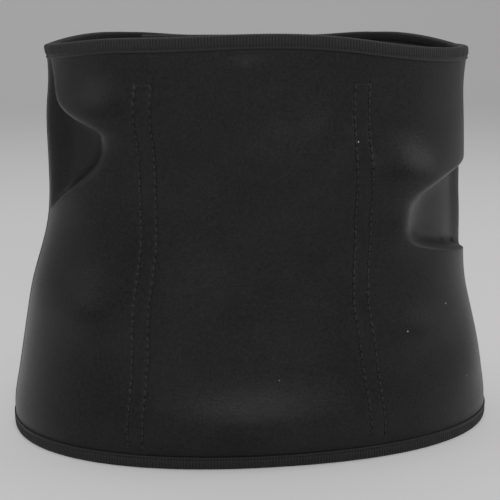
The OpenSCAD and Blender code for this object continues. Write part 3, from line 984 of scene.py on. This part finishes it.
binding_stitches("rim_thread", back, 180, 360, [(rim_h, back_rim, 1)], "back", "top_binding_thread_back")
binding_stitches("hem_thread", back, 180, 360, [(wall_foot, foot_edge, -1)], "back",
                 "hem_binding_thread_back")
for body, side in sides.items():
    piece = binding_stitches(f"{body}_thread", wing(side), 0, 2.95,
                             [(rim_h, wing_rim(side), 1), (wall_foot, foot_edge, -1)], None,
                             f"{body}_binding_thread")
    bend_at_seam(piece)

# %% [markdown]
# ## Rows down the free ends
# The end tapes are sewn through as well. Their rows never bend with the seam, so they ride
# straight on their wing.

# %% End stitches
for body, side in sides.items():
    z = even(end_clear + wall_foot + 2, float(wing_rim(side)(3.0)) - end_clear - 2, needle_pitch)
    rows = [frames(wing_end(side), np.full_like(z, -needle_row), z, np.full_like(z, d), 0.0, 0.5)
            for d in (-0.5, wall_t + 0.5)]
    rows[1] = (rows[1][0], rows[1][1], -rows[1][2])
    sew(f"{body}_end_thread", *[np.concatenate(part) for part in zip(*rows)], *binding_stitch, body)

# %% [markdown]
# ## Side seams
# The panel and each wing are butted edge to edge. Outside, a flatlock machine covers the
# join with a band of slanted threads; inside, a tape keeps it from scratching.

# %% A band laid across a seam
def seam_band(side):
    """Points e millimetres from a side seam: below 0 on the panel, above 0 on the wing."""
    leg = lengths(wing(side)(np.linspace(0, 1, 5), np.full(5, 120.0)), 0)[-1]

    def place(e, z, d=0.0):
        e, z, d = np.broadcast_arrays(np.asarray(e, float), np.asarray(z, float), np.asarray(d, float))
        per_degree = half_w(z) * math.pi / 180
        t = np.minimum(e, 0) / per_degree * side
        on_panel = back((360.0 if side > 0 else 180.0) + t, z, d)
        on_wing = wing(side)(np.maximum(e, 0) / leg, z, d)
        return np.where((e < 0)[..., None], on_panel, on_wing)
    return place


seam_low = wall_foot + binding_w + 0.5
seam_high = rim_h - rim_dip - binding_w - 0.5


def seam_tape(name, side):
    z = even(seam_low, seam_high, 4.0)
    e = np.array([-7.0, -5.0, -3.2, -1.6, 1.6, 3.2, 5.0, 7.0])
    points = seam_band(side)(e[None, :], z[:, None], wall_t + 0.35)
    piece = ply(f"seam_tape_{name}", points[:, ::-1], 0.5)
    dress(piece, "woven_tape", None, f"side_seam_tape_{name}")
    bend_at_seam(piece)
    flat_size(points)


def seam_cover(name, side):
    """The flatlock cover: slanted threads that cross the seam, modelled as one ribbed band."""
    z = even(seam_low, seam_high, 0.42)
    e = np.array([-2.7, -2.4, -1.8, -1.2, -0.6, 0.0, 0.6, 1.2, 1.8, 2.4, 2.7])
    grid_e, grid_z = np.meshgrid(e, z)
    across = np.abs(grid_e) / e[-1]
    slant = np.abs(np.sin(np.pi * (grid_z / 2.1 + 0.5 * across)))
    rise = (0.12 + 0.38 * slant) * (1 - across ** 4)
    points = seam_band(side)(grid_e, grid_z, -rise)
    piece = ply(f"seam_thread_{name}", points, 0.12)
    dress(piece, "thread", None, f"side_seam_thread_{name}")
    bend_at_seam(piece)


for name, side, body in (("left", -1, "outer_wing"), ("right", 1, "under_wing")):
    seam_tape(name, side)
    seam_cover(name, side)

# %% [markdown]
# ## Stays and their pockets
# Each channel is closed inside by a woven tape. It is sewn flat at both sides and stands
# off the lining in the middle, where a flat spring steel stay slides in. The stay's ends
# are dipped, so that they can't wear through the pocket.

# %% Pockets, stays and tips
pocket_d = wall_t + 0.35
stay_w, stay_t = 8.0, 1.2
stay_foot, stay_head, tip_len = channel_foot + 5, channel_head - 5, 7.0


def along_channel(which, e, z, d):
    """A strip up the panel: e is the distance from the channel's middle, as a grid or a row."""
    e, z, d = np.broadcast_arrays(np.asarray(e, float), np.asarray(z, float), np.asarray(d, float))
    at = channel_at(which, z)
    return back(at + e / mm_per_degree(at, z), z, d)


def pocket(which):
    edge = row_gap / 2
    e = np.array([-edge - 3, -edge - 1.5, -edge, -edge + 0.35, -edge + 0.7, -2.2, 0, 2.2,
                  edge - 0.7, edge - 0.35, edge, edge + 1.5, edge + 3])
    z = even(channel_foot, channel_head, 2.35)
    lift = (stay_t + 0.3) * swing((edge - np.abs(e)) / 0.7)
    ends = swing((z - channel_foot) / 4) * swing((channel_head - z) / 4)
    points = along_channel(which, e[None, :], z[:, None], pocket_d + lift[None, :] * ends[:, None])
    piece = ply(f"pocket_tape_{which}", points, 0.5)
    dress(piece, "woven_tape", "back", f"channel_tape_{which}")
    flat_size(points)


def flat_strip(name, which, z, half_width, depth, thickness, slot_name, *nodes):
    """A bent strip of metal or a dipped end: a grid, given its thickness and rounded edges."""
    e = np.array([-1, -0.6, 0, 0.6, 1])
    points = along_channel(which, e[None, :] * half_width[:, None], z[:, None], depth)
    piece = ply(name, points, thickness)
    apply_modifier(piece, "BEVEL", width=0.3 * MM, segments=2, limit_method="ANGLE",
                   angle_limit=math.radians(50))
    return dress(smooth(piece, 40), slot_name, "back", *nodes)


def stay(which):
    z = even(stay_foot + tip_len - 2, stay_head - tip_len + 2, 5.0)
    flat_strip(f"stay_bar_{which}", which, z, np.full_like(z, stay_w / 2 - 0.25),
               pocket_d + 0.2, stay_t - 0.2, "stay_steel", f"stay_{which}")


def stay_tips(which):
    r = stay_w / 2
    up = np.array([0.06, 0.3, 0.8, 1.6, 2.6, 4.0, 5.5, tip_len])
    half = np.where(up < r, np.sqrt(np.maximum(r * r - (r - up) ** 2, 0)), r)
    for sense, end in ((1, stay_foot), (-1, stay_head)):
        z, width = end + sense * up, half
        if sense < 0:
            z, width = z[::-1], width[::-1]
        nodes = [f"stay_tips_{which}"] if sense > 0 else []
        flat_strip(f"stay_tip_{which}_{'low' if sense > 0 else 'high'}", which, z, width,
                   pocket_d + 0.08, stay_t + 0.08, "stay_tip", *nodes)


for which in channels:
    pocket(which)
    stay(which)
    stay_tips(which)

# %% [markdown]
# ## Care label
# A blank satin label hangs inside, its upper edge caught under the rim tape. It's a thin
# ribbon, so it lies close to the lining and lifts a little at its lower corners.

# %% Care label
label_z = even(206.0, 256.0, 2.0)
label_t = even(254.0, 262.0, 0.5)
lift = 0.45 + 1.1 * bell((label_z - 206) / 9)[:, None] * np.abs((label_t - 258) / 4)[None, :] ** 2
label_points = back(label_t[None, :], label_z[:, None], wall_t + lift)
care_label = ply("blank_label", label_points, 0.2)
dress(care_label, "label", "back", "care_label")
flat_size(label_points)

# %% [markdown]
# ## Hook and loop
# The outer wing carries hook tape inside, the under wing a wider field of loop tape outside.
# A hook is a bent plastic hair a millimetre tall, made once and copied; the loops are too
# fine for that, so the loop field is a felted surface with an uneven pile.

# %% Patch grids
patch_foot, patch_top = 32.0, 228.0
hook_margin = 4.5
patches = {"outer_wing": (-outer_wing_end + binding_w + 1.4, 56.0),
           "under_wing": (-under_wing_end + binding_w + 1.4, 98.0)}


def patch_place(side):
    """Points of a wing's flat front: x in the wing's own mirror image, height, depth."""
    flat = wing_end(side)
    return lambda x, z, d=0.0: flat(wing_end_x[side] - np.asarray(x, float), z, d)


def rounded_sheet(x0, width, step, round_off=4.0):
    """Grid of x and z over a patch whose corners are rounded."""
    z = even(patch_foot, patch_top, step)
    u = even(-1, 1, 2 * step / width)
    from_end = np.minimum(z - patch_foot, patch_top - z)
    cut = round_off - np.sqrt(np.maximum(round_off ** 2 - np.maximum(round_off - from_end, 0) ** 2, 0))
    x = x0 + width / 2 + u[None, :] * (width / 2 - cut[:, None])
    return x, z[:, None] + 0 * x


def outline(x0, width, inset, pitch):
    """Middles and directions of a row of stitches round a patch, in x and z."""
    low, high = patch_foot + inset, patch_top - inset
    left, right = x0 + inset, x0 + width - inset
    across, up = even(left, right, pitch), even(low, high, pitch)
    across, up = across[1:-1], up[1:-1]
    x = np.concatenate([across, across, np.full_like(up, left), np.full_like(up, right)])
    z = np.concatenate([np.full_like(across, low), np.full_like(across, high), up, up])
    turned = np.concatenate([np.ones(2 * len(across)), np.zeros(2 * len(up))])
    return x, z, turned


# %% Hook patch
def hook_shape():
    """One bent hair, from a four-sided ring drawn out in edit mode and closed at its tip."""
    deselect()
    bpy.ops.mesh.primitive_cylinder_add(vertices=4, radius=0.16, depth=0.01, end_fill_type="NOTHING")
    hook = bpy.context.object
    bpy.ops.object.mode_set(mode="EDIT")
    bpy.ops.mesh.select_mode(type="EDGE")
    bpy.ops.mesh.select_all(action="DESELECT")
    bpy.ops.object.mode_set(mode="OBJECT")
    for edge in hook.data.edges:
        edge.select = all(hook.data.vertices[v].co.z > 0 for v in edge.vertices)
    bpy.ops.object.mode_set(mode="EDIT")
    for move in ((0, 0, 0.55), (0.08, 0, 0.28), (0.22, 0, 0.1), (0.22, 0, -0.12)):
        bpy.ops.mesh.extrude_region_move(TRANSFORM_OT_translate={"value": move})
    bpy.ops.mesh.merge(type="CENTER")
    bpy.ops.object.mode_set(mode="OBJECT")
    points = np.array([v.co[:] for v in hook.data.vertices])
    faces = [tuple(p.vertices) for p in hook.data.polygons]
    bpy.data.objects.remove(hook)
    return in_order(points, faces)


def hook_patch():
    body, side = "outer_wing", -1
    x0, width = patches[body]
    x, z = rounded_sheet(x0, width, 2.0)
    base = patch_place(side)(x, z, wall_t + 0.02)
    sheet = ply("hook_patch_tape", base, 0.5)
    dress(sheet, "hook_tape", body, "hook_patch")
    flat_size(base)
    grid_x, grid_z = np.meshgrid(even(x0 + hook_margin, x0 + width - hook_margin, 1.9),
                                 even(patch_foot + hook_margin, patch_top - hook_margin, 2.4))
    grid_x[1::2] += 0.9
    centres = patch_place(side)(grid_x.ravel(), grid_z.ravel(), wall_t + 0.5)
    turn = np.where(np.arange(len(centres)) % 2 == 0, 1.0, -1.0)[:, None]
    axes = (np.array([[0, 0, 1.0]]) * turn, np.array([[1.0, 0, 0]]) * turn, np.array([[0, -1.0, 0]]))
    copies("hook_field", *hook_shape(), centres, axes, "hook_tape", body)


hook_patch()


# %% Loop patch
def loop_patch():
    body, side = "under_wing", 1
    x0, width = patches[body]
    x, z = rounded_sheet(x0, width, 1.2)
    rng = np.random.default_rng(4)
    from_side = np.minimum(x - x.min(), x.max() - x)
    edge = np.minimum(from_side, np.minimum(z - patch_foot, patch_top - z))
    crush = 0.5 * np.sin(x / 9.0 + 1.3 * np.sin(z / 17.0)) * np.sin(z / 13.0 + np.sin(x / 11.0))
    pile = 0.75 + 0.35 * rng.random(x.shape) + 0.15 * crush
    height = 0.35 + pile * swing((edge - 3.4) / 1.2)
    points = patch_place(side)(x, z, -height)
    sheet = ply("loop_patch_tape", points[:, ::-1], 0.3)
    dress(sheet, "loop_tape", body, "loop_patch")


loop_patch()


# %% Stitches round the patches
def patch_stitches(body, side, depth, turn, node):
    x0, width = patches[body]
    x, z, turned = outline(x0, width, 2.2, needle_pitch)
    place = patch_place(side)
    centres = place(x, z, depth)
    along = place(x + 0.5 * turned, z + 0.5 * (1 - turned), depth) - centres
    out = (centres - place(x, z, depth + 1.0)) * turn
    sew(f"{body}_patch_thread", centres, along, out, 2.3, 0.5, body, node)


patch_stitches("outer_wing", -1, wall_t + 0.55, -1, "hook_patch_stitching")
patch_stitches("under_wing", 1, -0.4, 1, "loop_patch_stitching")
